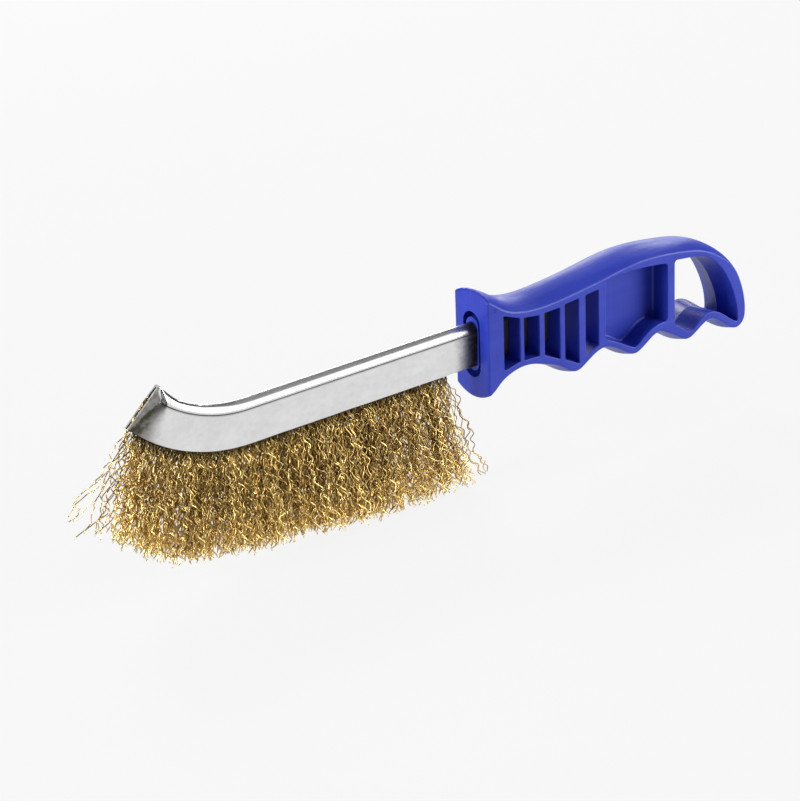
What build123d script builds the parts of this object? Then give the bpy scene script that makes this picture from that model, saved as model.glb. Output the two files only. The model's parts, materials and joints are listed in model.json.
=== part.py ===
from build123d import *
import math
import os

# Hand wire brush, in millimetres. While it is built, X = 0 is the front face of the handle's guard, +X runs
# to the end of the handle, Y = 0 is the brush's mid-plane and Z = 0 is the middle of the guard. At the end
# every piece is moved so that the origin is under the middle of the brush, level with the lowest wire tips.

# Handle moulding
HANDLE_WIDTH = 16.4
GUARD_LEAD = 3.0  # the outline is drawn this far ahead of the guard's face and cut back to it
EDGE_ROUND = 0.7  # rounding of the outer edges of the flat sides and of the guard's face
FINGER_CRESTS = ((85.4, -20.8), (61.9, -19.4), (36.7, -18.3))
NOTCHES = ((95.2, -16.6), (72.9, -14.7), (48.8, -13.5))  # the low point behind each crest
SLOTS = (  # each through slot: x from, x to, then top z and bottom z at those two ends
    (6.4, 13.1, 8.9, 6.4, -9.6, -8.3),
    (14.7, 21.1, 6.1, 5.2, -8.4, -8.7),
    (23.2, 29.7, 5.3, 5.5, -9.1, -12.3),
    (31.7, 37.7, 6.0, 6.4, -13.0, -16.1),
    (40.5, 46.1, 6.7, 7.3, -14.2, -12.0),
)
SLOT_ROUND = 0.35
POCKET_FROM = 49.0
POCKET_TO = 76.2
POCKET_ROUND = 1.4
POCKET_FLOOR_ROUND = 0.8
WEB = 2.0  # wall left between the two side pockets
EYE_FROM = 79.4
EYE_ROUND = 1.2
HEEL_ROUND = 0.6
EYE_MIDDLE = (93.0, -6.0)
EYE_DRAFT = 0.018  # the eye is this share smaller at the mid-plane, which leaves a parting line there
MOUTH_ROUND = 0.25  # rounding where the slots, pockets and eye meet the flat sides

# Guard face: a groove round the boss that holds the channel
GROOVE_WIDTH = 8.1
GROOVE_TOP = 10.0
GROOVE_BOTTOM = -12.2
GROOVE_DEPTH = 4.6
BOSS_WIDTH = 6.0
BOSS_TOP = 8.0
BOSS_BOTTOM = -10.0
BOSS_SETBACK = 0.3
EJECTOR_MARK = (2.35, 12.1)
EJECTOR_MARK_RADIUS = 1.15
EJECTOR_MARK_DEPTH = 0.12

# Steel channel: a half-round back on sides that lean in towards two lips
BACK_RADIUS = 2.45
BACK_CENTRE_Z = 3.85
LIP_Z = -8.0
LIP_HALF_WIDTH = 1.9
SHEET = 0.7
TANG_END = 34.5
BEND_START = -87.5
LIP_BEND_RADIUS = 60.0
PINCH_ANGLE = 31.0  # where the nose starts to be pinched, along the bend
NOSE_ANGLE = 44.0
NOSE_HALF_WIDTH = 1.05
NOSE_LIP_HALF_WIDTH = 1.0
NOSE_RISE = 1.4  # how much taller the section gets as it is pinched flat
SOCKET_CLEARANCE = 0.12

# Core wire and the crimped wires that are folded over it
CORE_RADIUS = 0.8
CORE_ROOM = 0.05
CORE_HEEL = -9.0
CORE_END_ANGLE = 30.0
WIRES_HEEL = -10.0
WIRES_NOSE_ANGLE = 43.0
BUNDLES = 26
BUNDLE_GAP = 0.06
HEEL_FAN = 19.0  # tilt of the last wires at the heel
HEEL_FAN_LENGTH = 26.0
NOSE_FAN = 0.52  # share of the bend that the wires below the nose follow
WIRE_LENGTH = 39.5
NOSE_WIRE_LENGTH = 34.5
TRIM_FROM = 45.0  # the wires get shorter from here to there, along the lips from the heel
TRIM_TO = 82.0
TIP_HALF_WIDTH = 5.2
TUCK = 0.12  # gap between the crimped wires and the inside of the channel
FOLD_LEVELS = (1.2, 0.0)  # top and shoulder of the fold, from the middle of the core wire
GRIP_LEVELS = (-4.0, -5.0)  # the same for the wires that are gripped in the nose, past the core wire
TOP_SHARE = 0.7  # width of the fold's top, as a share of its shoulder

HALF_WIDTH = HANDLE_WIDTH / 2
LIP_DEPTH = BACK_CENTRE_Z - LIP_Z  # from the middle of the half-round back down to the lips
BEND_CENTRE_Z = LIP_Z + LIP_BEND_RADIUS
BACK_BEND_RADIUS = LIP_BEND_RADIUS - LIP_DEPTH
LIP_STRAIGHT = WIRES_HEEL - BEND_START  # from the last wires at the heel to the start of the bend
LIP_LENGTH = LIP_STRAIGHT + LIP_BEND_RADIUS * math.radians(WIRES_NOSE_ANGLE)
FAR = 200.0


def handle_outline():
    """Edge of the handle's flat sides, from the top of the guard round to its foot: (x, z, crown)."""
    back = [
        (-GUARD_LEAD, 17.0, 2.0),
        (0.0, 15.4, 2.1),
        (3.0, 13.4, 2.5),
        (7.0, 10.6, 2.8),
        (13.0, 8.4, 3.1),
        (22.0, 7.5, 3.2),
        (34.0, 8.3, 3.1),
        (46.5, 9.8, 2.7),
        (57.0, 11.4, 2.4),
        (68.5, 12.0, 2.3),
        (81.0, 10.8, 2.3),
        (91.0, 8.8, 2.3),
        (99.0, 5.0, 2.2),
        (106.0, -1.0, 2.2),
        (110.0, -9.2, 2.2),
        (111.4, -17.0, 2.2),
    ]
    end = [(110.4, -21.4, 2.0), (107.7, -22.9, 1.7), (104.6, -21.7, 1.6), (100.4, -18.6, 1.6)]
    bump = ((5.8, 2.7), (2.6, 0.8), (0.8, 0.1), (-0.8, 0.1), (-2.6, 0.9), (-5.2, 2.6), (-8.0, 4.2))
    belly = []
    for (notch_x, notch_z), (crest_x, crest_z) in zip(NOTCHES, FINGER_CRESTS):
        belly.append((notch_x, notch_z, 1.5))
        belly += [(crest_x + dx, crest_z + dz, 1.7) for dx, dz in bump]
    neck = [
        (23.6, -12.1, 1.6),
        (16.0, -10.3, 1.7),
        (9.0, -11.3, 2.0),
        (5.0, -13.3, 2.4),
        (2.3, -15.5, 2.5),
        (-GUARD_LEAD, -16.8, 2.6),
    ]
    return back + end + belly + neck


def crowned(outline):
    """The outline at the mid-plane: each point moved outwards by its crown."""
    moved = []
    last = len(outline) - 1
    for i, (x, z, crown) in enumerate(outline):
        before_x, before_z, _ = outline[max(i - 1, 0)]
        after_x, after_z, _ = outline[min(i + 1, last)]
        run = after_x - before_x
        rise = after_z - before_z
        length = math.hypot(run, rise)
        moved.append((x - rise / length * crown, z + run / length * crown))
    return moved


def outline_wire(points, y):
    """A closed wire at one y: the long curve, and the straight line that closes it at the front."""
    curve = Spline(*[(x, y, z) for x, z in points])
    return Wire([curve, Line(curve @ 1, curve @ 0)])


def handle_body():
    """The solid outer shape: flat sides, with a back, end and belly that are crowned across the width."""
    outline = handle_outline()
    rim = [(x, z) for x, z, _ in outline]
    wires = [outline_wire(rim, -HALF_WIDTH), outline_wire(crowned(outline), 0), outline_wire(rim, HALF_WIDTH)]
    body = Solid.make_loft(wires) - Pos(-FAR / 2, 0, 0) * Box(FAR, FAR, FAR)
    long_edges = [edge for edge in body.edges() if edge.length > FAR]
    return fillet(long_edges + list(body.faces().sort_by(Axis.X)[0].edges()), EDGE_ROUND)


def side_view(face, y=0.0):
    """Stands a face up at one y, with its x and y as the side view's x and z."""
    return Plane.XZ.offset(-y) * face


def rounded_quad(corners, radius):
    outline = make_face(Polyline(*corners, close=True))
    return fillet(outline.vertices(), radius)


def slot_cuts():
    cuts = []
    for x_from, x_to, top_from, top_to, bottom_from, bottom_to in SLOTS:
        corners = ((x_from, top_from), (x_to, top_to), (x_to, bottom_to), (x_from, bottom_from))
        cuts.append(extrude(side_view(rounded_quad(corners, SLOT_ROUND)), FAR, both=True))
    return cuts


def pocket_cuts():
    """The blind pocket in each side, with the rounded floor that the web gives it."""
    top = Spline((POCKET_FROM, 9.4), (64.0, 9.6), (POCKET_TO, 8.2))
    behind_dip = ((70.6, -12.4), (66.8, -14.1), (63.5, -16.4))
    dip = ((61.7, -17.2), (59.8, -16.5), (56.4, -14.5), (52.6, -12.6))
    bottom = Spline((POCKET_TO, -12.1), *behind_dip, *dip, (POCKET_FROM, -10.9))
    outline = make_face([top, Line(top @ 1, bottom @ 0), bottom, Line(bottom @ 1, top @ 0)])
    cut = extrude(side_view(fillet(outline.vertices(), POCKET_ROUND), -WEB / 2), FAR)
    cut = fillet(cut.faces().sort_by(Axis.Y)[-1].edges(), POCKET_FLOOR_ROUND)
    return [cut, mirror(cut, Plane.XZ)]


def eye_cuts():
    """The finger and hanging eye, drafted from both sides, so that it is narrowest at the mid-plane."""
    heel = (108.1, -21.0)
    arch = ((86.0, 7.7), (92.8, 6.3), (99.6, 1.4), (104.4, -6.0), (107.3, -13.6))
    outer = Spline((EYE_FROM, 8.5), *arch, heel)
    ridge = ((103.7, -18.2), (99.8, -15.5), (95.2, -14.1), (91.8, -15.1))
    dip = ((88.3, -17.9), (86.7, -18.6), (85.0, -17.9), (82.6, -16.3))
    lower = Spline(heel, *ridge, *dip, (EYE_FROM, -14.4))
    outline = make_face([outer, lower, Line(lower @ 1, outer @ 0)])
    outline = fillet(outline.vertices().sort_by(Axis.X)[-1], HEEL_ROUND)
    outline = fillet(outline.vertices().sort_by(Axis.X)[:2], EYE_ROUND)
    middle = Pos(*EYE_MIDDLE)
    wide = middle * scale(middle.inverse() * outline, 1 + EYE_DRAFT)
    narrow = middle * scale(middle.inverse() * outline, 1 - EYE_DRAFT)
    half = loft([side_view(wide, -HANDLE_WIDTH), side_view(narrow)], ruled=True)
    return [half, mirror(half, Plane.XZ)]


def front_slot(width, bottom, top, x_from, x_to):
    """A tall bar with round ends along X, as wide as its ends are round."""
    outline = Pos(0, (top + bottom) / 2) * SlotOverall(top - bottom, width, rotation=90)
    return extrude(Plane.YZ.offset(x_from) * outline, x_to - x_from)


def groove_cuts():
    """The groove in the guard's face, which leaves the boss standing a little back from that face."""
    groove = front_slot(GROOVE_WIDTH, GROOVE_BOTTOM, GROOVE_TOP, 0, GROOVE_DEPTH)
    boss = front_slot(BOSS_WIDTH, BOSS_BOTTOM, BOSS_TOP, BOSS_SETBACK, GROOVE_DEPTH)
    return [groove - boss]


def ejector_marks():
    mark = Pos(*EJECTOR_MARK) * Circle(EJECTOR_MARK_RADIUS)
    cut = extrude(side_view(mark, -HALF_WIDTH + EJECTOR_MARK_DEPTH), FAR)
    return [cut, mirror(cut, Plane.XZ)]


def section_plane(angle):
    """A plane across the channel on its bend, with y up towards the middle of the bend."""
    turn = math.radians(angle)
    x = BEND_START - BACK_BEND_RADIUS * math.sin(turn)
    z = BEND_CENTRE_Z - BACK_BEND_RADIUS * math.cos(turn)
    return Plane(origin=(x, 0, z), x_dir=(0, 1, 0), z_dir=(math.cos(turn), 0, -math.sin(turn)))


def back_and_sides(half_width, rise, lip_half_width):
    """The open line from lip to lip over the channel's back."""
    back = EllipticalCenterArc((0, 0), half_width, rise, start_angle=0, arc_size=180)
    right = Line((lip_half_width, -LIP_DEPTH), back @ 0)
    return [right, back, Line(back @ 1, (-lip_half_width, -LIP_DEPTH))]


def outer_face(half_width, rise, lip_half_width):
    """The whole section, as if the channel were solid."""
    lines = back_and_sides(half_width, rise, lip_half_width)
    return make_face([*lines, Line(lines[2] @ 1, lines[0] @ 0)])


def strip_face(half_width, rise, lip_half_width):
    """The folded strip's own section."""
    outer = back_and_sides(half_width, rise, lip_half_width)
    inner = back_and_sides(half_width - SHEET, rise - SHEET, lip_half_width - SHEET)
    return make_face([*outer, Line(outer[2] @ 1, inner[2] @ 1), *inner, Line(inner[0] @ 0, outer[0] @ 0)])


def channel():
    """The folded strip: tang and straight back, the bend, and the pinched nose."""
    full = strip_face(BACK_RADIUS, BACK_RADIUS, LIP_HALF_WIDTH)
    pinched = strip_face(NOSE_HALF_WIDTH, BACK_RADIUS + NOSE_RISE, NOSE_LIP_HALF_WIDTH)
    straight = extrude(section_plane(0) * full, TANG_END - BEND_START)
    bend_axis = Axis((BEND_START, 0, BEND_CENTRE_Z), (0, 1, 0))
    bend = revolve(section_plane(0) * full, bend_axis, PINCH_ANGLE)
    nose = loft([section_plane(PINCH_ANGLE) * full, section_plane(NOSE_ANGLE) * pinched], ruled=True)
    return straight + bend + nose


def socket_cut():
    """The hole for the tang through the boss and the first ribs."""
    room = SOCKET_CLEARANCE
    outline = outer_face(BACK_RADIUS + room, BACK_RADIUS + room, LIP_HALF_WIDTH + room)
    floor = Pos(0, -LIP_DEPTH - room / 2) * Rectangle(2 * (LIP_HALF_WIDTH + room), room)
    plane = Plane(origin=(-1, 0, BACK_CENTRE_Z), x_dir=(0, 1, 0), z_dir=(1, 0, 0))
    return extrude(plane * (outline + floor), TANG_END + 2)


def handle():
    body = handle_body()
    for cut in slot_cuts() + pocket_cuts() + eye_cuts():
        body -= cut
    mouths = [edge for face in on_side_faces(body) for wire in face.inner_wires() for edge in wire.edges()]
    body = fillet(mouths, MOUTH_ROUND)
    for cut in groove_cuts() + ejector_marks() + [socket_cut()]:
        body -= cut
    return body


def on_side_faces(body):
    return [face for face in body.faces() if abs(abs(face.center().Y) - HALF_WIDTH) < 0.001]


def core(radius):
    """The round wire that lies in the channel's back, to the start of the pinched nose."""
    disc = section_plane(0) * Circle(radius)
    bend_axis = Axis((BEND_START, 0, BEND_CENTRE_Z), (0, 1, 0))
    return extrude(disc, CORE_HEEL - BEND_START) + revolve(disc, bend_axis, CORE_END_ANGLE)


def ramp(value, start, end):
    return min(max((value - start) / (end - start), 0.0), 1.0)


def bend_angle(along):
    """The bend's angle in degrees at a distance along the lips from the heel."""
    return math.degrees(max(along - LIP_STRAIGHT, 0.0) / LIP_BEND_RADIUS)


def down_from(point, angle, distance):
    """The point at a distance down a line tilted from the vertical towards the nose."""
    turn = math.radians(angle)
    return point[0] - distance * math.sin(turn), point[1] - distance * math.cos(turn)


def lip_point(along):
    """x and z of the lips at a distance along them from the heel."""
    if along <= LIP_STRAIGHT:
        return WIRES_HEEL - along, LIP_Z
    return down_from((BEND_START, BEND_CENTRE_Z), bend_angle(along), LIP_BEND_RADIUS)


def room_in_channel(along, height):
    """Half of the room between the channel's sides, at a height from the middle of its back."""
    pinch = ramp(bend_angle(along), PINCH_ANGLE, NOSE_ANGLE)
    at_back = BACK_RADIUS + pinch * (NOSE_HALF_WIDTH - BACK_RADIUS)
    at_lips = LIP_HALF_WIDTH + pinch * (NOSE_LIP_HALF_WIDTH - LIP_HALF_WIDTH)
    return at_back + (at_lips - at_back) * -height / LIP_DEPTH - SHEET - TUCK


def both_sides(right):
    """A closed outline from its right side's (x, half width, z) points."""
    return right + [(x, -half, z) for x, half, z in reversed(right)]


def wires_in_channel(along, top, shoulder):
    """Outline of the wires inside the channel, at right angles to it."""
    shoulder_room = room_in_channel(along, shoulder)
    levels = ((-LIP_DEPTH, room_in_channel(along, -LIP_DEPTH)), (shoulder, shoulder_room))
    right = []
    for height, half in (*levels, (top, shoulder_room * TOP_SHARE)):
        x, z = down_from(lip_point(along), bend_angle(along), -LIP_DEPTH - height)
        right.append((x, half, z))
    return both_sides(right)


def wires_below_lips(along):
    """Outline of the wires from the lips to their tips, fanned out at the heel and the nose."""
    lean = NOSE_FAN * bend_angle(along) - HEEL_FAN * (1 - ramp(along, 0, HEEL_FAN_LENGTH))
    length = WIRE_LENGTH + ramp(along, TRIM_FROM, TRIM_TO) * (NOSE_WIRE_LENGTH - WIRE_LENGTH)
    x, z = lip_point(along)
    tip_x, tip_z = down_from((x, z), lean, length)
    return both_sides([(x, room_in_channel(along, -LIP_DEPTH), z), (tip_x, TIP_HALF_WIDTH, tip_z)])


def ruled_between(outlines):
    return Solid.make_loft([Wire(Polyline(*outline, close=True)) for outline in outlines], ruled=True)


def wire_bundle(start, end):
    """One group of crimped wires: folded over the core wire, or in the pinched nose gripped past its end."""
    top, shoulder = FOLD_LEVELS if bend_angle(start) < CORE_END_ANGLE else GRIP_LEVELS
    held = ruled_between([wires_in_channel(along, top, shoulder) for along in (start, end)])
    free = ruled_between([wires_below_lips(along) for along in (start, end)])
    return held + free - core(CORE_RADIUS + CORE_ROOM)


def wire_bundles():
    pitch = LIP_LENGTH / BUNDLES
    bundles = {}
    for number in range(BUNDLES):
        start = number * pitch + BUNDLE_GAP / 2
        bundles[f"wire_bundle_{number + 1:02d}"] = wire_bundle(start, start + pitch - BUNDLE_GAP)
    return bundles


def brush():
    """Every piece by node name, with the origin under the middle of the brush."""
    pieces = {"handle": handle(), "channel": channel(), "core_wire": core(CORE_RADIUS), **wire_bundles()}
    boxes = [piece.bounding_box() for piece in pieces.values()]
    middle_x = (min(box.min.X for box in boxes) + max(box.max.X for box in boxes)) / 2
    move = Pos(-middle_x, 0, -min(box.min.Z for box in boxes))
    return {name: move * piece for name, piece in pieces.items()}


os.makedirs("parts", exist_ok=True)
for name, piece in brush().items():
    export_step(piece, f"parts/{name}.step")
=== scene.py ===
import json
import math

import bpy
import numpy as np
from mathutils import Matrix, Vector

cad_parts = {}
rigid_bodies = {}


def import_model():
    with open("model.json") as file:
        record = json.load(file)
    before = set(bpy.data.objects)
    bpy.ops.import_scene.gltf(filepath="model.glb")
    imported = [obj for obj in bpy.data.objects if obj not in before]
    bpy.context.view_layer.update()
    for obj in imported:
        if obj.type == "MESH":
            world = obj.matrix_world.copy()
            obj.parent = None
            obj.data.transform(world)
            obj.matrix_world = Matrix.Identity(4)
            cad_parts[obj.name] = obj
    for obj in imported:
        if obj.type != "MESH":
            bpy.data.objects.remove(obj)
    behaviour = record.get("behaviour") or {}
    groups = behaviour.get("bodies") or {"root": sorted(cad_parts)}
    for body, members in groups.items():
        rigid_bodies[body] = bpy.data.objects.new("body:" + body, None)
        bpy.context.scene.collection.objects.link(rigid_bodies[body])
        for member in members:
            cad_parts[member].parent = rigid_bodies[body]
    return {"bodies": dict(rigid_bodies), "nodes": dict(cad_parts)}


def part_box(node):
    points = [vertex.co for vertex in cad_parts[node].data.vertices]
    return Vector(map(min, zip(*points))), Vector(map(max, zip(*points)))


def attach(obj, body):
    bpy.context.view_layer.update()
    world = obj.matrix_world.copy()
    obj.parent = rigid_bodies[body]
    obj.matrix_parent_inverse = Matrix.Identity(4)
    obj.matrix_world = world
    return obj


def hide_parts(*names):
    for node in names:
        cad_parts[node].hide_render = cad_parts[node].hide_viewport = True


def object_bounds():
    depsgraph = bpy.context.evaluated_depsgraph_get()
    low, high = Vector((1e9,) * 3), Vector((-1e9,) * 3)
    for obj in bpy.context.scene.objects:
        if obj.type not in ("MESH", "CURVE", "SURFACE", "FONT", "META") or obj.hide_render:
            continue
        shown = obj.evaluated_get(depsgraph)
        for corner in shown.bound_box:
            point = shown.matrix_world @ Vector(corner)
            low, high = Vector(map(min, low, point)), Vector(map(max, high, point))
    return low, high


# The looks of the hand wire brush. Shapes are worked out in millimetres in the frame that the CAD was drawn
# in: X = 0 is the front face of the guard, Y = 0 the mid-plane and Z = 0 the middle of the guard.
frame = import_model()
CAD_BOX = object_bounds()
BODY = next(iter(frame["bodies"]))
MM = 0.001
FULL_TURN = 2.0 * math.pi

# Steel channel, as in the CAD
TANG_END = 34.5
LIP_Z = -8.0
BACK_CENTRE_Z = 3.85
BACK_RADIUS = 2.45
LIP_HALF_WIDTH = 1.9
SHEET = 0.7
BEND_START = -87.5
LIP_BEND_RADIUS = 60.0
PINCH_ANGLE = 31.0
NOSE_ANGLE = 44.0
NOSE_HALF_WIDTH = 1.05
NOSE_LIP_HALF_WIDTH = 1.0
NOSE_RISE = 1.4
LIP_DEPTH = BACK_CENTRE_Z - LIP_Z
BEND_CENTRE_Z = LIP_Z + LIP_BEND_RADIUS
BACK_BEND_RADIUS = LIP_BEND_RADIUS - LIP_DEPTH

channel_low, channel_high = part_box("channel")
ORIGIN = np.array((channel_high.x - TANG_END * MM, 0.0, channel_low.z - LIP_Z * MM))
FLOOR_Z = -ORIGIN[2] / MM


def to_row(points):
    """Millimetres in the drawing frame to metres in the row's frame."""
    return np.asarray(points, float) * MM + ORIGIN


# ---------------------------------------------------------------- node helpers


def new_material(name):
    """A material with only a Principled shader and an output: the material, its node tree and the shader."""
    material = bpy.data.materials.new(name)
    material.use_nodes = True
    tree = material.node_tree
    tree.nodes.clear()
    out = tree.nodes.new("ShaderNodeOutputMaterial")
    shader = tree.nodes.new("ShaderNodeBsdfPrincipled")
    tree.links.new(shader.outputs[0], out.inputs["Surface"])
    return material, tree, shader


def add(tree, kind, **settings):
    """A new node with its settings."""
    node = tree.nodes.new(kind)
    for key, value in settings.items():
        setattr(node, key, value)
    return node


def join(tree, socket, value):
    """Links an input to a socket, or sets it to a number or colour."""
    if isinstance(value, bpy.types.NodeSocket):
        tree.links.new(value, socket)
    else:
        socket.default_value = value


def feed(tree, node, **inputs):
    """Links or sets inputs by name. Underscores in a name stand for spaces."""
    for key, value in inputs.items():
        join(tree, node.inputs[key.replace("_", " ")], value)


def math_node(tree, operation, first, second=0.0, clamp=False):
    node = add(tree, "ShaderNodeMath", operation=operation, use_clamp=clamp)
    join(tree, node.inputs[0], first)
    join(tree, node.inputs[1], second)
    return node.outputs[0]


def scaled(tree, value, share):
    return math_node(tree, "MULTIPLY", value, share)


def plus_scaled(tree, base, value, share):
    return math_node(tree, "ADD", base, scaled(tree, value, share))


def spread(tree, value, low, high, to_low=0.0, to_high=1.0):
    """Takes a value from one range to another in proportion, and holds it at both ends."""
    node = add(tree, "ShaderNodeMapRange")
    for socket, number in zip(node.inputs[:5], (value, low, high, to_low, to_high)):
        join(tree, socket, number)
    return node.outputs[0]


def mix_colour(tree, factor, first, second):
    node = add(tree, "ShaderNodeMix", data_type="RGBA")
    for index, value in ((0, factor), (6, first), (7, second)):
        join(tree, node.inputs[index], value)
    return node.outputs[2]


def object_place(tree):
    return add(tree, "ShaderNodeTexCoord").outputs["Object"]


def split(tree, vector):
    """The x, y and z of a vector."""
    node = add(tree, "ShaderNodeSeparateXYZ")
    tree.links.new(vector, node.inputs[0])
    return node.outputs


def noise(tree, place, sizes, detail, rough=0.5):
    """Noise with one grain size in millimetres for each axis."""
    stretched = add(tree, "ShaderNodeVectorMath", operation="MULTIPLY")
    join(tree, stretched.inputs[0], place)
    join(tree, stretched.inputs[1], [1.0 / (size * MM) for size in sizes])
    node = add(tree, "ShaderNodeTexNoise")
    feed(tree, node, Vector=stretched.outputs[0], Scale=1.0, Detail=detail, Roughness=rough)
    return node.outputs[0]


def attribute(tree, name):
    return add(tree, "ShaderNodeAttribute", attribute_name=name).outputs["Fac"]


def bump(tree, height, depth, strength, below=None):
    """A normal from a height that stands for so many millimetres, over the bumps below it."""
    node = add(tree, "ShaderNodeBump")
    feed(tree, node, Height=height, Distance=depth * MM, Strength=strength)
    if below is not None:
        feed(tree, node, Normal=below)
    return node.outputs[0]


def by_viewer(tree, to_camera, to_object):
    """One shader where the camera looks straight at it, and another in reflections and for light."""
    either = add(tree, "ShaderNodeMixShader")
    tree.links.new(add(tree, "ShaderNodeLightPath").outputs["Is Camera Ray"], either.inputs[0])
    tree.links.new(to_object.outputs[0], either.inputs[1])
    tree.links.new(to_camera.outputs[0], either.inputs[2])
    return either.outputs[0]


def grey(level):
    return (level, level, level, 1.0)


# ---------------------------------------------------------------- materials

BLUE_DEEP = (0.012, 0.026, 0.300, 1.0)
BLUE_PALE = (0.018, 0.036, 0.355, 1.0)
BLUE_SCUFFED = (0.10, 0.13, 0.55, 1.0)
PLASTIC_IOR = 1.37
STEEL_DARKER = grey(0.66)
STEEL_PALER = grey(0.74)
STEEL_DIRT_AND_SHADE = (0.062, 0.056, 0.040, 1.0)
TANG_SHADE = (0.17, 0.150, 0.080, 1.0)
TANG_SHADE_FROM = 2.0  # how far behind the guard's face the tang's painted shade starts, and is full
TANG_SHADE_FULL = 5.0
CORE_DARKER = grey(0.30)
CORE_PALER = grey(0.52)
BRASS_DARK = (0.15, 0.083, 0.016, 1.0)
BRASS_BRIGHT = (0.97, 0.725, 0.270, 1.0)
BRASS_TARNISHED = (0.24, 0.110, 0.024, 1.0)
BRASS_ROOT_SHADE = (0.05, 0.030, 0.010, 1.0)


def handle_plastic():
    """Glossy blue moulded plastic: faint flow streaks and scuffs, a fine moulded grain and a parting line at
    the mid-plane."""
    material, tree, shader = new_material("blue_moulded_plastic")
    place = object_place(tree)
    flow = noise(tree, place, (60.0, 3.2, 3.2), 3.0, 0.55)
    cloud = noise(tree, place, (14.0, 14.0, 14.0), 2.0)
    drag = noise(tree, place, (26.0, 0.55, 0.55), 2.0)
    upright = noise(tree, place, (1.5, 1.5, 40.0), 1.0)
    grain = noise(tree, place, (0.16, 0.16, 0.16), 3.0)
    scuffs = noise(tree, place, (7.0, 0.35, 0.5), 4.0, 0.7)
    tint = plus_scaled(tree, scaled(tree, flow, 0.55), cloud, 0.45)
    colour = mix_colour(tree, spread(tree, tint, 0.35, 0.65), BLUE_DEEP, BLUE_PALE)
    scuffed = scaled(tree, spread(tree, scuffs, 0.66, 0.78), 0.18)
    colour = mix_colour(tree, scuffed, colour, BLUE_SCUFFED)
    rough = plus_scaled(tree, spread(tree, cloud, 0.3, 0.7, 0.34, 0.42), drag, 0.08)
    off_middle = math_node(tree, "ABSOLUTE", split(tree, place)[1])
    seam = spread(tree, off_middle, 0.04 * MM, 0.16 * MM, 1.0, 0.0)
    normal = bump(tree, grain, 0.02, 0.25)
    normal = bump(tree, drag, 0.10, 0.55, normal)
    normal = bump(tree, upright, 0.12, 0.40, normal)
    normal = bump(tree, seam, 0.05, 0.6, normal)
    feed(tree, shader, Base_Color=colour, Roughness=rough, Normal=normal, IOR=PLASTIC_IOR)
    return material


def channel_steel():
    """Zinc-plated strip: soft mottling, rolling lines along it, and darker, rougher steel: painted shade in
    the crease, at the nose's knuckle, pinch and facet, by the guard and inside, and dirt on the sheared ends.
    The tang is painted dark olive from a little way behind the guard's face, as shade inside the handle."""
    material, tree, shader = new_material("plated_steel_strip")
    place = object_place(tree)
    cloud = noise(tree, place, (9.0, 6.0, 6.0), 3.0, 0.55)
    mottle = noise(tree, place, (2.2, 1.6, 1.6), 4.0, 0.6)
    rolled = noise(tree, place, (40.0, 0.35, 0.35), 2.0)
    speck = noise(tree, place, (0.35, 0.35, 0.35), 2.0)
    tone = plus_scaled(tree, scaled(tree, cloud, 0.5), mottle, 0.5)
    colour = mix_colour(tree, spread(tree, tone, 0.35, 0.65), STEEL_DARKER, STEEL_PALER)
    raggedness = math_node(tree, "SUBTRACT", mottle, 0.5)
    # The strip is painted darker with shade in the crease, at the nose, by the guard and inside, and with
    # dirt on its sheared ends.
    dirt_and_shade_share = spread(tree, plus_scaled(tree, attribute(tree, "dirt_and_shade"), raggedness, 0.5), 0.10, 0.85)
    colour = mix_colour(tree, dirt_and_shade_share, colour, STEEL_DIRT_AND_SHADE)
    # Painted shade: the tang inside the handle is painted dark olive from a little way behind the guard's
    # face.
    tang_shade_from, tang_shade_full = (ORIGIN[0] + depth * MM for depth in (TANG_SHADE_FROM, TANG_SHADE_FULL))
    tang_shaded = spread(tree, split(tree, place)[0], tang_shade_from, tang_shade_full)
    colour = mix_colour(tree, tang_shaded, colour, TANG_SHADE)
    rough = spread(tree, tone, 0.3, 0.7, 0.17, 0.23)
    rough = plus_scaled(tree, rough, dirt_and_shade_share, 0.25)
    rough = plus_scaled(tree, rough, attribute(tree, "sheared"), 0.50)
    normal = bump(tree, cloud, 0.3, 0.06)
    normal = bump(tree, rolled, 0.01, 0.12, normal)
    normal = bump(tree, speck, 0.02, 0.06, normal)
    feed(tree, shader, Base_Color=colour, Roughness=rough, Normal=normal, Metallic=1.0)
    return material


def core_steel():
    """Drawn steel wire, with lines along it."""
    material, tree, shader = new_material("drawn_steel_wire")
    place = object_place(tree)
    drawn = noise(tree, place, (12.0, 0.12, 0.12), 2.0)
    cloud = noise(tree, place, (3.0, 3.0, 3.0), 3.0)
    colour = mix_colour(tree, cloud, CORE_DARKER, CORE_PALER)
    rough = spread(tree, cloud, 0.3, 0.7, 0.28, 0.42)
    normal = bump(tree, drawn, 0.02, 0.4)
    feed(tree, shader, Base_Color=colour, Roughness=rough, Normal=normal, Metallic=1.0)
    return material


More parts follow.
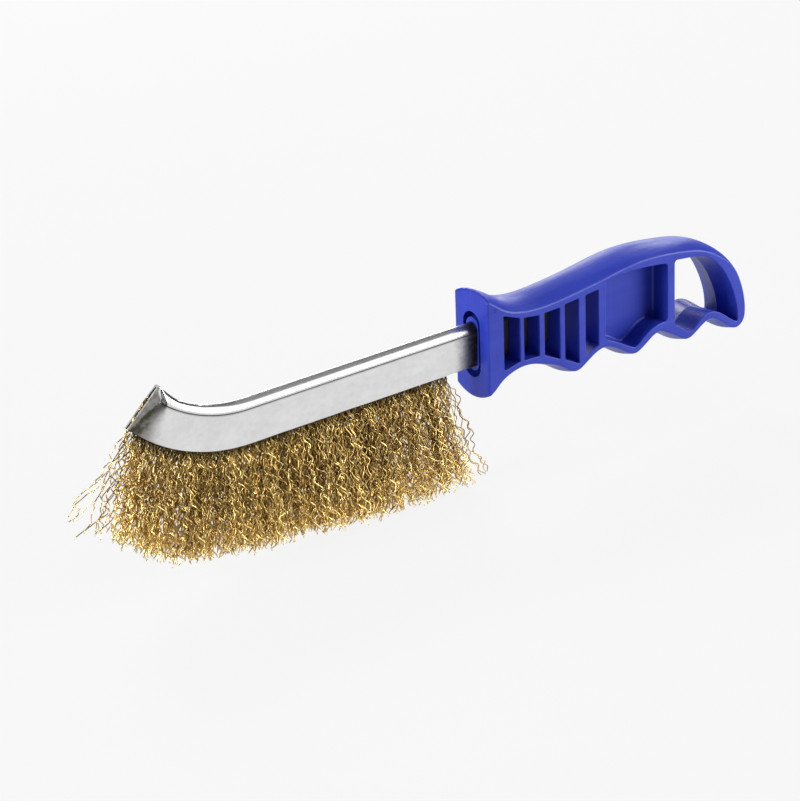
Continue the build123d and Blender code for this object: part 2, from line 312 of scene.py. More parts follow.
def crimped_wire():
    """Brass-coated wire. Each wire has its own tone, with painted light below the bend and the nose, and all
    are painted brighter towards the tips as painted light, tarnished in patches and painted dark with shade
    where they leave the channel."""
    material, tree, shader = new_material("brass_coated_wire")
    place = object_place(tree)
    along = attribute(tree, "along")
    patch = noise(tree, place, (1.3, 1.3, 1.8), 3.0, 0.6)
    fine = noise(tree, place, (0.22, 0.22, 0.22), 2.0)
    # Painted light: the wires are painted brighter towards their tips.
    tip_light = spread(tree, along, 0.55, 1.0, 0.0, 0.35)
    tone = math_node(tree, "ADD", attribute(tree, "tone"), tip_light, clamp=True)
    colour = mix_colour(tree, tone, BRASS_DARK, BRASS_BRIGHT)
    colour = mix_colour(tree, spread(tree, patch, 0.52, 0.72), colour, BRASS_TARNISHED)
    # Painted shade: the wires are painted dark brown just below the lips.
    root_shade = spread(tree, along, 0.0, 0.12, 0.90, 0.0)
    colour = mix_colour(tree, root_shade, colour, BRASS_ROOT_SHADE)
    rough = spread(tree, fine, 0.3, 0.7, 0.13, 0.26)
    normal = bump(tree, fine, 0.03, 0.25)
    feed(tree, shader, Base_Color=colour, Roughness=rough, Normal=normal, Metallic=1.0)
    return material


# ---------------------------------------------------------------- mesh helpers


def mesh_piece(name, points, faces, material, attributes, flat_faces):
    """An object from points in millimetres and groups of faces. A group's faces have one number of corners.
    All are smooth apart from the flat ones."""
    mesh = bpy.data.meshes.new(name)
    corners = np.concatenate([np.ravel(group) for group in faces])
    sizes = np.concatenate([np.full(len(group), group.shape[1]) for group in faces])
    starts = np.concatenate(([0], np.cumsum(sizes)[:-1]))
    mesh.vertices.add(len(points))
    mesh.vertices.foreach_set("co", np.ravel(to_row(points)))
    mesh.loops.add(len(corners))
    mesh.loops.foreach_set("vertex_index", corners)
    mesh.polygons.add(len(sizes))
    mesh.polygons.foreach_set("loop_start", starts)
    mesh.update(calc_edges=True)
    smooth = np.ones(len(sizes), bool)
    smooth[list(flat_faces)] = False
    mesh.polygons.foreach_set("use_smooth", smooth)
    for key, values in attributes.items():
        layer = mesh.attributes.new(key, "FLOAT", "POINT")
        layer.data.foreach_set("value", np.asarray(values, np.float32))
    mesh.materials.append(material)
    piece = bpy.data.objects.new(name, mesh)
    bpy.context.scene.collection.objects.link(piece)
    return piece


def tube_quads(index):
    """Quads between neighbouring rings, from point numbers whose last two axes are along and round a tube."""
    beside = np.roll(index, -1, axis=-1)
    corners = (index[..., :-1, :], beside[..., :-1, :], beside[..., 1:, :], index[..., 1:, :])
    return np.stack(corners, -1).reshape(-1, 4)


def ramp(value, low, high):
    return np.clip((value - low) / (high - low), 0.0, 1.0)


def smoothstep(value, low, high):
    share = ramp(value, low, high)
    return share * share * (3.0 - 2.0 * share)


def bell(value, middle, width):
    return np.exp(-(((value - middle) / width) ** 2))


# ---------------------------------------------------------------- steel channel

STRAIGHT_STEP = 1.5  # millimetres between sections
BEND_STEP = 1.0  # degrees between sections
NOSE_STATIONS = 53
CREASE_ANGLE = 37.4  # where the pinched facet of the nose meets the round back
NOSE_TURN = 4.0  # how much further than the bend the very end of the nose leans back
NOSE_TURN_FROM = CREASE_ANGLE - 2.0
PINCH_EASE = 1.25

# Heights below are from the middle of the half-round back.
BACK_TURNS = np.linspace(90.0, 4.0, 22)  # degrees round the back, from its middle to its side
STEP_OUTLINE = (  # half width and height of the small step below the back
    (2.450, 0.0), (2.445, -0.14), (2.425, -0.27), (2.390, -0.38), (2.345, -0.46), (2.315, -0.52),
)
SIDE_TOP_HALF_WIDTH = 2.33
SIDE_HEIGHTS = np.linspace(-0.62, 0.3 - LIP_DEPTH, 18)
LIP_ROUNDING = ((0.0, 0.20), (0.03, 0.09), (0.10, 0.02), (0.20, 0.0))  # in from the outside, and up
INNER_LIP_ROUNDING = ((0.20, 0.0), (0.08, 0.03), (0.0, 0.14))  # out from the inside, and up
INNER_SIDE_SHARES = np.linspace(0.03, 1.0, 8)
INNER_BACK_TURNS = np.linspace(8.0, 90.0, 10)
RIDGE_FOOT = 0.10  # the nose's pinched ridge starts at this share of its height
RIDGE_WIDTH = 0.93 * NOSE_HALF_WIDTH
RIDGE_WIDENING = 2.1  # how quickly the ridge gets to its full width, outside and inside
INNER_RIDGE_WIDENING = 1.6
RIDGE_ROUNDING = 0.6
FACET_LEAN = 1.9  # degrees for each millimetre above the middle of the back
FACET_STARTS = (-0.8, -5.5, 0.8)  # degrees from the crease at the back, degrees more at the lips, and power
FACET_ENDS = (0.9, 5.2, 0.5)

LIP_WAVE = 0.035
LIP_WAVE_LENGTH = 9.0
LIP_HARMONICS = (1.0, 2.3, 4.1)
LIP_WAVES_FROM = 2.0  # how far below the middle of the back the sides start to wave
CHANNEL_SEED = 7

# Painted shade on the strip: in the crease below the back, at the knuckle where the nose's facet meets the
# back, on the pinch and the facet, by the guard and inside. The sheared ends get dirt.
CREASE_SHADE_HEIGHT = -0.40
CREASE_SHADE_WIDTH = 0.24
KNUCKLE_SHADE = 0.85
PINCH_SHADE = 0.85
FACET_SHADE = 0.68
GUARD_SHADE = 0.84
GUARD_SHADE_FROM = -11.0  # along the brush
GUARD_SHADE_FULL = -0.5
INSIDE_SHADE = 0.9
SHEARED_DIRT = (0.25, 0.60)


def section_frame(station):
    """x and z of the middle of the back at a station, and the section's angle. Stations below 0 are
    millimetres along the straight, counted back from the bend; stations from 0 are degrees round it."""
    if station < 0:
        return BEND_START - station, BACK_CENTRE_Z, 0.0
    turn = math.radians(station)
    x = BEND_START - BACK_BEND_RADIUS * math.sin(turn)
    return x, BEND_CENTRE_Z - BACK_BEND_RADIUS * math.cos(turn), turn


def ridge_height(turn, radius):
    """Height on the pinched ridge of a point so far round the back."""
    return (radius + NOSE_RISE) * (RIDGE_FOOT + (1.0 - RIDGE_FOOT) * math.sin(turn))


def half_section():
    """The right half of the strip's outside, from the middle of the back to the lip: half widths and heights,
    full and pinched."""
    full, pinched = [], []
    for degrees in BACK_TURNS:
        turn = math.radians(degrees)
        full.append((BACK_RADIUS * math.cos(turn), BACK_RADIUS * math.sin(turn)))
        widened = min(1.0, math.cos(turn) * RIDGE_WIDENING) ** RIDGE_ROUNDING if degrees < 90.0 else 0.0
        pinched.append((RIDGE_WIDTH * widened, ridge_height(turn, BACK_RADIUS)))
    for half_width, height in STEP_OUTLINE:
        full.append((half_width, height))
        pinched.append((NOSE_HALF_WIDTH, height))
    for height in SIDE_HEIGHTS:
        share = -height / LIP_DEPTH
        full.append((SIDE_TOP_HALF_WIDTH + share * (LIP_HALF_WIDTH - SIDE_TOP_HALF_WIDTH), height))
        pinched.append((NOSE_HALF_WIDTH + share * (NOSE_LIP_HALF_WIDTH - NOSE_HALF_WIDTH), height))
    for inward, up in LIP_ROUNDING:
        full.append((LIP_HALF_WIDTH - inward, up - LIP_DEPTH))
        pinched.append((NOSE_LIP_HALF_WIDTH - inward, up - LIP_DEPTH))
    return np.array(full), np.array(pinched)


def inner_half_section():
    """The same for the inside, from the lip up to the middle of the back."""
    full, pinched = [], []
    radius = BACK_RADIUS - SHEET
    lip = LIP_HALF_WIDTH - SHEET
    nose = NOSE_HALF_WIDTH - SHEET
    for outward, up in INNER_LIP_ROUNDING:
        full.append((lip + outward, up - LIP_DEPTH))
        pinched.append((NOSE_LIP_HALF_WIDTH - SHEET + outward, up - LIP_DEPTH))
    for share in INNER_SIDE_SHARES:
        height = (share - 1.0) * LIP_DEPTH
        full.append((lip + share * (radius - lip), height))
        pinched.append((nose, height))
    for degrees in INNER_BACK_TURNS:
        turn = math.radians(degrees)
        full.append((radius * math.cos(turn), radius * math.sin(turn)))
        widened = min(1.0, math.cos(turn) * INNER_RIDGE_WIDENING)
        pinched.append((nose * widened, ridge_height(turn, radius)))
    return np.array(full), np.array(pinched)


def pinched_from_to(height):
    """The angles between which the section goes from full to flat, at each height. They are close together
    at the back, and part towards the lips."""
    above = np.clip(height, 0.0, BACK_RADIUS) * FACET_LEAN
    below = ramp(-height, 0.0, LIP_DEPTH)
    edges = (FACET_STARTS, FACET_ENDS)
    return [CREASE_ANGLE + at_back + at_lips * below ** power + above for at_back, at_lips, power in edges]


def closed_section(station, outer, inner, wobble):
    """The strip's whole section at a station as (y, height) pairs round it."""
    angle = max(station, 0.0)
    rise = NOSE_RISE * ramp(angle, PINCH_ANGLE, NOSE_ANGLE - 1.0)
    sides = []
    for full, pinched in (outer, inner):
        height = full[:, 1]
        share = ramp(angle, *pinched_from_to(height)) ** PINCH_EASE
        lifted = full + np.outer(ramp(height, 0.0, BACK_RADIUS), (0.0, rise))
        sides.append(lifted + (pinched - lifted) * share[:, None])
    right = np.concatenate(sides)
    near_lip = ramp(-right[:, 1], LIP_WAVES_FROM, LIP_DEPTH)
    right_side = np.stack((right[:, 0] + wobble[0] * near_lip, right[:, 1]), 1)
    left_side = np.stack((-right[:, 0] + wobble[1] * near_lip, right[:, 1]), 1)[::-1]
    return np.concatenate((right_side, left_side[1:-1]))


def placed_section(station, section):
    """A section's points in space. Near the end of the nose it leans back further than the bend."""
    x, z, turn = section_frame(station)
    leaned = turn + math.radians(NOSE_TURN) * float(ramp(station, NOSE_TURN_FROM, NOSE_ANGLE))
    foot_x = x - LIP_DEPTH * math.sin(turn)
    foot_z = z - LIP_DEPTH * math.cos(turn)
    y, above_lips = section[:, 0], section[:, 1] + LIP_DEPTH
    return np.stack((foot_x + above_lips * math.sin(leaned), y, foot_z + above_lips * math.cos(leaned)), 1)


def lip_wobble(x, phases):
    """How far one lip waves sideways at a place along the strip."""
    along = x / LIP_WAVE_LENGTH
    return LIP_WAVE * sum(math.sin(along * k + phase) for k, phase in zip(LIP_HARMONICS, phases))


def channel_dirt_and_shade(station, x, height, outer_count):
    """How dark and rough the steel is at each point of a section, as painted shade: in the crease, at the
    nose's knuckle, pinch and facet, by the guard and inside."""
    angle = max(station, 0.0)
    crease = bell(height, CREASE_SHADE_HEIGHT, CREASE_SHADE_WIDTH) * (1.0 - smoothstep(angle, 38.0, 40.0))
    knuckle = KNUCKLE_SHADE * bell(angle, CREASE_ANGLE + 0.5, 1.1) * bell(height, 0.2, 0.9)
    starts, ends = pinched_from_to(height)
    pinch = PINCH_SHADE * smoothstep(angle, starts - 1.2, ends - 0.4) * ramp(-height, -0.3, 1.5)
    pinch = np.where(angle > ends, FACET_SHADE, pinch)
    guard = GUARD_SHADE * smoothstep(x, GUARD_SHADE_FROM, GUARD_SHADE_FULL)
    outside = np.maximum.reduce((crease, knuckle, pinch, np.full_like(height, guard)))
    inside = np.zeros(len(height), bool)
    inside[outer_count:len(height) - outer_count + 1] = True
    return np.where(inside, INSIDE_SHADE, outside)


def end_cap(ring, outer_count, flip):
    """Quads and triangles across the sheet's thickness at one end. Each outside point is joined to the inside
    point that is as far round, so a triangle stands where two outside points share one."""
    around = len(ring)
    half = (around + 2) // 2
    last = outer_count - 1
    quads, triangles = [], []
    for side in (1, -1):
        outside = [ring[side * i % around] for i in range(outer_count)]
        inside = [ring[side * i % around] for i in range(half - 1, last, -1)]
        partners = [inside[round(k * (len(inside) - 1) / last)] for k in range(outer_count)]
        for k in range(last):
            face = [outside[k], outside[k + 1], partners[k + 1]]
            if partners[k] != partners[k + 1]:
                face.append(partners[k])
            if (side > 0) != flip:
                face.reverse()
            (quads if len(face) == 4 else triangles).append(face)
    return np.array(quads), np.array(triangles)


def channel_stations():
    """Where the sections stand: on the straight, round the bend and closest together at the nose."""
    straight = np.arange(BEND_START - TANG_END, 0.0, STRAIGHT_STEP)
    bend = np.arange(0.0, PINCH_ANGLE, BEND_STEP)
    nose = np.linspace(PINCH_ANGLE, NOSE_ANGLE, NOSE_STATIONS)
    return np.concatenate((straight, bend, nose))


def channel_piece(material):
    """The folded strip with its thickness. Its end faces have their own points, which are sheared steel."""
    rng = np.random.default_rng(CHANNEL_SEED)
    waves = rng.uniform(0.0, FULL_TURN, (2, len(LIP_HARMONICS)))
    outer, inner = half_section(), inner_half_section()
    outer_count = len(outer[0])
    rows, dirt_and_shade = [], []
    for station in channel_stations():
        x = section_frame(station)[0]
        section = closed_section(station, outer, inner, [lip_wobble(x, phases) for phases in waves])
        rows.append(placed_section(station, section))
        dirt_and_shade.append(channel_dirt_and_shade(station, x, section[:, 1], outer_count))
    count, around = len(rows), len(rows[0])
    quads = tube_quads(np.arange(count * around).reshape(count, around))
    ring = count * around + np.arange(around)
    caps = [*end_cap(ring, outer_count, False), *end_cap(ring + around, outer_count, True)]
    flat = range(len(quads), len(quads) + sum(len(cap) for cap in caps))
    # The sheared ends get real dirt at random; the rest of the strip gets painted shade.
    sheared_dirt = rng.uniform(*SHEARED_DIRT, 2 * around)
    values = {
        "dirt_and_shade": np.concatenate((np.ravel(dirt_and_shade), sheared_dirt)),
        "sheared": np.repeat((0.0, 1.0), (count * around, 2 * around)),
    }
    points = np.concatenate((*rows, rows[0], rows[-1]))
    piece = mesh_piece("channel_strip", points, [quads, *caps], material, values, flat)
    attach(piece, BODY)
    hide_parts("channel")


# ---------------------------------------------------------------- crimped wires

# Places along the lips are millimetres from the last wires at the heel, by the guard. Leans are degrees from
# upright, positive towards the nose. Pairs of angles round the bend say where a change starts and is full.
WIRES_HEEL = -11.4
WIRES_NOSE_ANGLE = 43.0
LIP_STRAIGHT = WIRES_HEEL - BEND_START
LIP_LENGTH = LIP_STRAIGHT + LIP_BEND_RADIUS * math.radians(WIRES_NOSE_ANGLE)
NOSE_PEEK = 0.7  # how much nearer to the open end of the nose the last wires come than the CAD's
NOSE_PEEK_LENGTH = 3.0
BUNDLES = 26
WIRES_PER_BUNDLE = 54
WIRE_RADIUS = 0.17
WIRE_SIDES = 5
OFF_WIRE = (0.35, 0.9, 0.25)  # a direction that no wire runs in
FLOOR_GAP = 0.05

LENGTH_PLACES = (0.0, 22.0, 40.0, 58.0, 80.0, 96.0, 112.0, 122.0)
LENGTHS = (39.5, 39.3, 37.3, 35.3, 33.8, 34.2, 32.4, 32.0)
LENGTH_SPREAD = 1.3
CLUMP_LENGTH = 0.9  # clumps differ by this, and every wire gets it, to make up for those cut shorter
HELD_LENGTH = 4.0  # how far each wire is followed up inside the channel
NOSE_HELD_LENGTH = 11.0  # the same for the last wires, which show in the open end of the nose
NOSE_HELD_ANGLES = (40.0, 42.0)
NOSE_SHOWN = 2.0  # how much of the lips' end has wires that show in the nose's open end
NOSE_SHOWN_OUT = 0.15  # those are as bright inside the nose as this share of their length outside, which keeps them out of the painted shade at the roots

HEEL_FAN = 13.5
HEEL_FAN_LENGTH = 26.0
NOSE_FAN = 0.43  # share of the bend that the wires' lean follows
ROOT_LEAN = 0.72  # how far a wire's root already turns from square to the lips towards the lean of its tip
END_ANGLES = (22.0, 43.0)  # where the bend turns into the nose end of the brush
CLUMPS = 56
CLUMP_LEAN = 1.8
CLUMP_LEAN_AT_ENDS = 2.4  # more than that at both ends of the brush
LEAN_SPREAD = 5.4
STRAYS = 0.04
STRAYS_AT_ENDS = 0.05
STRAY_LEAN = 7.0
NOSE_STRAYS = 0.24  # share of the wires at the very nose that lean loosely out of the brush
LOOSE_ANGLES = (35.0, 42.0)
LOOSE_LEAN = (6.0, 40.0)
LEAST_LEAN = -HEEL_FAN - 8.0
TIP_HALF_WIDTH = 4.8
TIP_SPREAD = 0.7
STRAY_TIP_SPREAD = 1.4
SPLAY_POWER = 1.12
LOOSE_CURL = 1.3  # how much further than the others the stray and loose wires wander

# Drifts: the lengths of their waves, and how far they go, in millimetres along and across the brush and in
# radians for the crimp.
DRIFT_ALONG = ((27.0, 14.0), 0.70)
DRIFT_ACROSS = ((29.0, 15.0), 0.30)
CRIMP_DRIFT = ((13.0, 7.0), 0.35)
FACING_DRIFT = ((43.0,), 0.35)

CRIMP_LENGTH = 4.8
CRIMP_LENGTHS = (0.87, 1.15)  # the shortest and the longest, as shares
CRIMP_HEIGHT = 0.68
CRIMP_HEIGHTS = (0.80, 1.25)
HELD_CRIMP = 0.45  # height of the crimp inside the channel, as a share
LOOSE_CRIMP = 0.85
CRIMP_FACING = 0.50
STEPS_PER_CRIMP = 10
HEEL_THINNING = 0.40  # share of the wires left out by the guard, where the brush is see-through
NOSE_THINNING = 0.38  # the same towards the nose
THINNING_ANGLES = (12.0, 36.0)
TONES = (0.9, 0.85)  # shape of the spread of tones, which has many dark and many bright wires
NOSE_PAINTED_LIGHT = 0.18  # how much brighter the wires are painted below the bend and the nose, as painted light
NOSE_PAINTED_LIGHT_ANGLES = (5.0, 30.0)
CLUMP_SEED = 42
WIRE_SEED = 1000


def wander(rng, distance, lengths, amplitude):
    """Slow sideways drift, with no shift at the root, for each wire and point."""
    total = np.zeros(distance.shape)
    for wave in lengths:
        phase = rng.uniform(0.0, FULL_TURN, (len(distance), 1))
        size = rng.normal(0.0, amplitude, (len(distance), 1))
        total += size * (np.sin(distance / wave * FULL_TURN + phase) - np.sin(phase))
    return total


def clumps(along, field):
    """A smooth random value that neighbouring wires share."""
    knots = np.arange(len(field)) * LIP_LENGTH / (len(field) - 1)
    return np.interp(along, knots, field)


def wire_roots(rng, number):
    """Where one bundle's wires leave the lips: places along the lips, angles round the bend, places across
    the slot from -1 to 1, and points."""
    count = WIRES_PER_BUNDLE
    along = (number + (np.arange(count) + rng.uniform(0.0, 1.0, count)) / count) * (LIP_LENGTH / BUNDLES)
    along = along + NOSE_PEEK * ramp(along, LIP_LENGTH - NOSE_PEEK_LENGTH, LIP_LENGTH)
    turn = np.maximum(along - LIP_STRAIGHT, 0.0) / LIP_BEND_RADIUS
    across = rng.uniform(-1.0, 1.0, count)
    pinch = ramp(np.degrees(turn), PINCH_ANGLE, NOSE_ANGLE)
    half_width = LIP_HALF_WIDTH + pinch * (NOSE_LIP_HALF_WIDTH - LIP_HALF_WIDTH)
    on_straight = along <= LIP_STRAIGHT
    x = np.where(on_straight, WIRES_HEEL - along, BEND_START - LIP_BEND_RADIUS * np.sin(turn))
    y = across * (half_width - SHEET - WIRE_RADIUS)
    z = np.where(on_straight, LIP_Z, BEND_CENTRE_Z - LIP_BEND_RADIUS * np.cos(turn))
    return along, np.degrees(turn), across, np.stack((x, y, z), -1)


def wire_leans(rng, along, angle, heel, field):
    """Leans of the wires' tips, and which wires stray and which are loose."""
    count = len(along)
    ends = np.maximum(heel, smoothstep(angle, *END_ANGLES))
    stray = rng.uniform(0.0, 1.0, count) < STRAYS + STRAYS_AT_ENDS * ends
    lean = NOSE_FAN * angle - HEEL_FAN * heel
    lean = lean + clumps(along, field) * (CLUMP_LEAN + CLUMP_LEAN_AT_ENDS * ends)
    lean = lean + rng.normal(0.0, LEAN_SPREAD, count)
    lean = lean + np.where(stray, rng.normal(0.0, STRAY_LEAN, count), 0.0)
    loose = rng.uniform(0.0, 1.0, count) < NOSE_STRAYS * smoothstep(angle, *LOOSE_ANGLES)
    lean = lean + np.where(loose, rng.uniform(*LOOSE_LEAN, count), 0.0)
    return np.maximum(lean, LEAST_LEAN), stray, loose


def crimps(rng, distance, loose):
    """The crimp's shift along and across the brush, for each wire and point."""
    count = len(distance)
    length = rng.uniform(*CRIMP_LENGTHS, (count, 1)) * CRIMP_LENGTH
    phase = rng.uniform(0.0, FULL_TURN, (count, 1))
    wave = np.sin(distance / length * FULL_TURN + phase + wander(rng, distance, *CRIMP_DRIFT))
    height = CRIMP_HEIGHT * rng.uniform(*CRIMP_HEIGHTS, (count, 1))
    height = height * (HELD_CRIMP + (1.0 - HELD_CRIMP) * smoothstep(distance, -1.0, 3.0))
    height = height * np.where(loose, LOOSE_CRIMP, 1.0)[:, None]
    facing = rng.normal(0.0, CRIMP_FACING, (count, 1)) + wander(rng, distance, *FACING_DRIFT)
    return wave * height * np.cos(facing), wave * height * np.sin(facing) * smoothstep(distance, 0.0, 5.0)


def above_floor(points, root):
    """The wires that would reach through the floor are made smaller from their roots."""
    root_z = root[:, 2]
    allowed = root_z - (FLOOR_Z + WIRE_RADIUS + FLOOR_GAP)
    shrink = np.minimum(1.0, allowed / (root_z - points[:, :, 2].min(1)))
    root = root[:, None, :]
    return root + (points - root) * shrink[:, None, None]


def bundle_lines(rng, number, fields):
    """Centre lines of one bundle's wires, as an array of wires by points by xyz, with how far out each point
    is as a share of the wire's free length, and each wire's tone."""
    along, angle, across, root = wire_roots(rng, number)
    count = len(along)
    heel = 1.0 - ramp(along, 0.0, HEEL_FAN_LENGTH)
    lean, stray, loose = wire_leans(rng, along, angle, heel, fields[0])
    length = np.interp(along, LENGTH_PLACES, LENGTHS) + (clumps(along, fields[1]) + 1.0) * CLUMP_LENGTH
    length = length - np.abs(rng.normal(0.0, LENGTH_SPREAD, count))
    tip_y = across * TIP_HALF_WIDTH + rng.normal(0.0, TIP_SPREAD, count)
    tip_y = tip_y + np.where(stray, rng.normal(0.0, STRAY_TIP_SPREAD, count), 0.0)

    held = HELD_LENGTH + (NOSE_HELD_LENGTH - HELD_LENGTH) * smoothstep(angle, *NOSE_HELD_ANGLES)
    steps = int((max(LENGTHS) + HELD_LENGTH) / CRIMP_LENGTH * STEPS_PER_CRIMP)
    distance = np.linspace(0.0, 1.0, steps) * (length + held)[:, None] - held[:, None]
    free = np.maximum(distance, 0.0)
    inside = np.minimum(distance, 0.0)
    out = free / length[:, None]

    turn = np.radians(angle)[:, None]
    tip_tilt = np.radians(lean)[:, None]
    root_tilt = turn + (tip_tilt - turn) * ROOT_LEAN
    tilt = root_tilt + (tip_tilt - root_tilt) * out
    root_x, root_y, root_z = root.T[:, :, None]
    x = root_x - inside * np.sin(turn) - free * np.sin(tilt)
    y = root_y + (tip_y[:, None] - root_y) * out ** SPLAY_POWER
    z = root_z - inside * np.cos(turn) - free * np.cos(tilt)
    curl = (1.0 + LOOSE_CURL * (stray | loose))[:, None]
    x = x + wander(rng, free, *DRIFT_ALONG) * smoothstep(free, 0.0, 12.0) * curl
    y = y + wander(rng, free, *DRIFT_ACROSS) * smoothstep(free, 0.0, 14.0) * curl
    crimp_x, crimp_y = crimps(rng, distance, loose)
    points = above_floor(np.stack((x + crimp_x, y + crimp_y, z), -1), root)

    in_nose = (along > LIP_LENGTH - NOSE_SHOWN)[:, None]
    out = np.where(in_nose, np.maximum(out, NOSE_SHOWN_OUT), out)
    # Painted light: tones are raised below the bend and the nose.
    nose_light = NOSE_PAINTED_LIGHT * smoothstep(angle, *NOSE_PAINTED_LIGHT_ANGLES)
    tones = np.minimum(rng.beta(*TONES, count) + nose_light, 1.0)
    thinning = NOSE_THINNING * smoothstep(angle, *THINNING_ANGLES) + HEEL_THINNING * heel
    kept = rng.uniform(0.0, 1.0, count) > thinning
    return points[kept], out[kept], tones[kept]


def tubes(lines):
    """Tube points round each centre line: wires by points by sides by xyz."""
    tangent = np.gradient(lines, axis=1)
    tangent /= np.linalg.norm(tangent, axis=2, keepdims=True)
    side = np.cross(tangent, np.array(OFF_WIRE))
    side /= np.linalg.norm(side, axis=2, keepdims=True)
    up = np.cross(tangent, side)
    turns = np.arange(WIRE_SIDES) / WIRE_SIDES * FULL_TURN
    ring = np.cos(turns)[:, None] * side[:, :, None, :] + np.sin(turns)[:, None] * up[:, :, None, :]
    return lines[:, :, None, :] + ring * WIRE_RADIUS


def bundle_piece(number, material, fields):
    """One bundle's wires as closed tubes."""
    rng = np.random.default_rng(WIRE_SEED + number)
    lines, out, tones = bundle_lines(rng, number, fields)
    rings = tubes(lines)
    index = np.arange(rings[..., 0].size).reshape(rings.shape[:3])
    quads = tube_quads(index)
    caps = np.concatenate((index[:, 0, ::-1], index[:, -1]))
    flat = range(len(quads), len(quads) + len(caps))
    values = {
        "along": np.ravel(np.broadcast_to(out[:, :, None], index.shape)),
        "tone": np.ravel(np.broadcast_to(tones[:, None, None], index.shape)),
    }
    name = f"crimped_wires_{number + 1:02d}"
    piece = mesh_piece(name, rings.reshape(-1, 3), [quads, caps], material, values, flat)
    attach(piece, BODY)
    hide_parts(f"wire_bundle_{number + 1:02d}")


# ---------------------------------------------------------------- the object


def dress(node, material):
    """Gives a CAD node that keeps its shape its material."""
    piece = frame["nodes"][node]
    if not piece.data.materials:
        piece.data.materials.append(material)
    for held in piece.material_slots:
        held.material = material


dress("handle", handle_plastic())
dress("core_wire", core_steel())
channel_piece(channel_steel())
wire = crimped_wire()
clump_fields = np.random.default_rng(CLUMP_SEED).normal(0.0, 1.0, (2, CLUMPS))
for bundle in range(BUNDLES):
    bundle_piece(bundle, wire, clump_fields)


# ---------------------------------------------------------------- floor, light and camera

FLOOR_RADIUS = 12.0
FLOOR_GLOW = 0.855
FLOOR_SHADE = 0.055
TABLE = (  # the lit parts of the table: middle, half length and soft edge, along x and then y
    ((0.10, 0.17, 0.08), (-0.39, 0.52, 0.10)),
    ((-0.02, 0.28, 0.10), (0.07, 0.06, 0.08)),
)
TABLE_GLOW = 0.96
TABLE_EDGE = 0.04
BACKDROP = 0.93
ROOM = ((0.0, 0.03), (0.30, 0.05), (0.60, 0.16), (0.85, 0.35), (1.0, 0.40))  # sine of elevation, and level
CAMERA_TURNS = (37.314, 23.433, -2.224)  # yaw, pitch down and roll, in degrees
CAMERA_PLACE = (-547.45, -679.83, 358.71)
SENSOR_WIDTH = 36.0
LENS = 134.83
CLIP = (0.05, 50.0)


def floor_material():
    """To the object the floor is a light table that ends in a dark room. The camera sees it pale throughout,
    with a trace of shadow."""
    material, tree, shader = new_material("pale_floor")
    feed(tree, shader, Base_Color=grey(FLOOR_SHADE), Roughness=1.0, Specular_IOR_Level=0.0)
    feed(tree, shader, Emission_Color=grey(1.0), Emission_Strength=FLOOR_GLOW)
    place = split(tree, object_place(tree))
    lit = 0.0
    for area in TABLE:
        inside = 1.0
        for coordinate, (middle, half, soft) in zip(place, area):
            away = math_node(tree, "ABSOLUTE", math_node(tree, "SUBTRACT", coordinate, middle))
            inside = math_node(tree, "MULTIPLY", inside, spread(tree, away, half, half + soft, 1.0, 0.0))
        lit = math_node(tree, "MAXIMUM", lit, inside)
    table = add(tree, "ShaderNodeEmission")
    feed(tree, table, Color=grey(1.0), Strength=spread(tree, lit, 0.0, 1.0, TABLE_EDGE, TABLE_GLOW))
    out = next(node for node in tree.nodes if node.type == "OUTPUT_MATERIAL")
    tree.links.new(by_viewer(tree, shader, table), out.inputs["Surface"])
    return material


def floor():
    """A round sheet under the brush. It is part of the stage, not of the object."""
    bpy.ops.mesh.primitive_circle_add(vertices=96, radius=FLOOR_RADIUS, fill_type="NGON", location=(0, 0, 0))
    sheet = bpy.context.object
    sheet.name = "floor"
    sheet.data.materials.append(floor_material())


def world():
    """A dim room that brightens overhead, and a pale backdrop where the camera looks past the floor."""
    room = bpy.data.worlds.new("studio")
    bpy.context.scene.world = room
    room.use_nodes = True
    tree = room.node_tree
    tree.nodes.clear()
    direction = add(tree, "ShaderNodeTexCoord").outputs["Generated"]
    curve = add(tree, "ShaderNodeValToRGB")
    stops = curve.color_ramp.elements
    while len(stops) < len(ROOM):
        stops.new(0.5)
    for stop, (position, level) in zip(stops, ROOM):
        stop.position = position
        stop.color = grey(level)
    tree.links.new(split(tree, direction)[2], curve.inputs[0])
    light = add(tree, "ShaderNodeBackground")
    feed(tree, light, Color=curve.outputs[0])
    backdrop = add(tree, "ShaderNodeBackground")
    feed(tree, backdrop, Color=grey(BACKDROP))
    out = add(tree, "ShaderNodeOutputWorld")
    tree.links.new(by_viewer(tree, backdrop, light), out.inputs["Surface"])


def aim(light, target, direction, distance):
    """Puts a light so far from its target in a direction, facing it."""
    lamp = bpy.data.objects.new(light.name, light)
    bpy.context.scene.collection.objects.link(lamp)
    towards = Vector(direction).normalized()
    lamp.location = Vector(target) + towards * distance
    lamp.rotation_mode = "QUATERNION"
    lamp.rotation_quaternion = (-towards).to_track_quat("-Z", "Y")


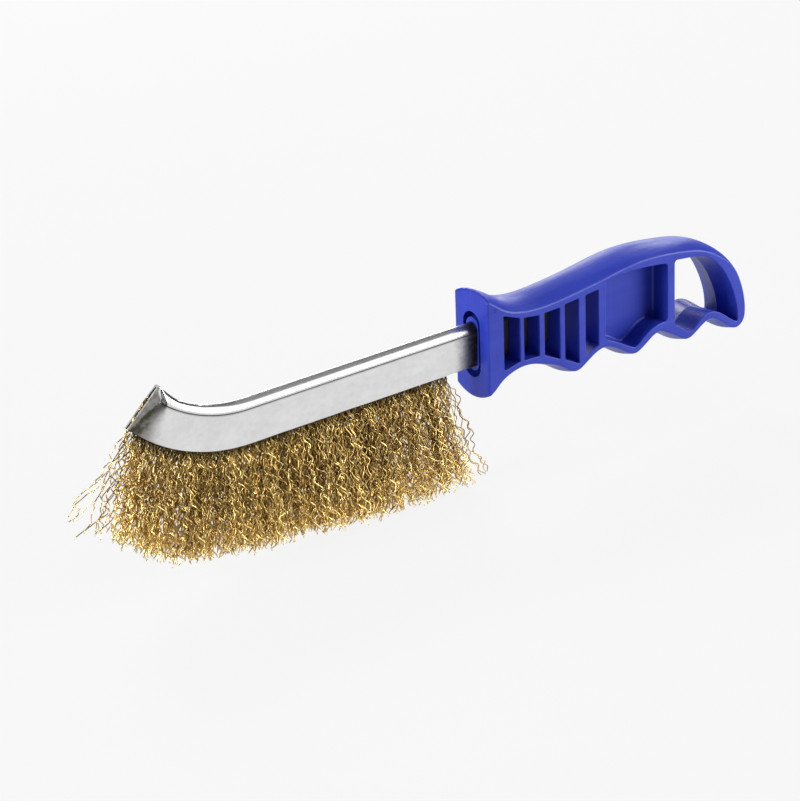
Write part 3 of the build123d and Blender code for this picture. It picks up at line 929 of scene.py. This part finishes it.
def softbox(name, direction, distance, size, power):
    """A rectangular area light that faces the middle of the brush."""
    light = bpy.data.lights.new(name, "AREA")
    light.shape = "RECTANGLE"
    light.size, light.size_y = size
    light.energy = power
    aim(light, (CAD_BOX[0] + CAD_BOX[1]) / 2, direction, distance)


def snoot(name, target, direction, distance, radius, cone, power):
    """A small round light with a narrow beam at one place."""
    light = bpy.data.lights.new(name, "SPOT")
    light.energy = power
    light.shadow_soft_size = radius
    light.spot_size = math.radians(cone)
    light.spot_blend = 0.8
    aim(light, target, direction, distance)


def camera():
    """Looks down on the brush from ahead of its nose and its left side."""
    yaw, pitch, roll = (math.radians(angle) for angle in CAMERA_TURNS)
    forward = Vector((math.sin(yaw) * math.cos(pitch), math.cos(yaw) * math.cos(pitch), -math.sin(pitch)))
    level = Vector((math.cos(yaw), -math.sin(yaw), 0.0))
    upright = level.cross(forward)
    right = math.cos(roll) * level + math.sin(roll) * upright
    up = math.cos(roll) * upright - math.sin(roll) * level
    data = bpy.data.cameras.new("camera")
    data.sensor_width = SENSOR_WIDTH
    data.lens = LENS
    data.clip_start, data.clip_end = CLIP
    eye = bpy.data.objects.new("camera", data)
    bpy.context.scene.collection.objects.link(eye)
    turn = Matrix((right, up, -forward)).transposed().to_4x4()
    eye.matrix_world = Matrix.Translation(to_row(CAMERA_PLACE)) @ turn
    bpy.context.scene.camera = eye


floor()
world()
# Directions are from what a light faces. Distances and sizes are in metres, the snoot's cone is in degrees
# and powers are in watts.
softbox("key", (0.76, -0.60, 0.215), 1.1, (0.95, 0.62), 17.5)
softbox("key_top", (0.66, -0.44, 0.62), 1.1, (0.95, 0.42), 1.7)
softbox("rim", (0.248, 0.811, 0.53), 1.2, (0.40, 0.45), 10.0)
softbox("behind", (0.56, 0.82, 0.12), 1.2, (0.9, 0.26), 3.0)
snoot("neck", (0.028, -0.002, 0.058), (0.745, 0.530, 0.400), 0.5, 0.058, 10.0, 4.5)
softbox("nose_side", (-1.0, 0.05, 0.30), 1.2, (0.5, 0.6), 22.0)
camera()
bpy.context.scene.view_settings.view_transform = "Standard"
bpy.context.scene.view_settings.look = "None"
bpy.context.scene.view_settings.exposure = 0.0
bpy.context.scene.view_settings.gamma = 1.0
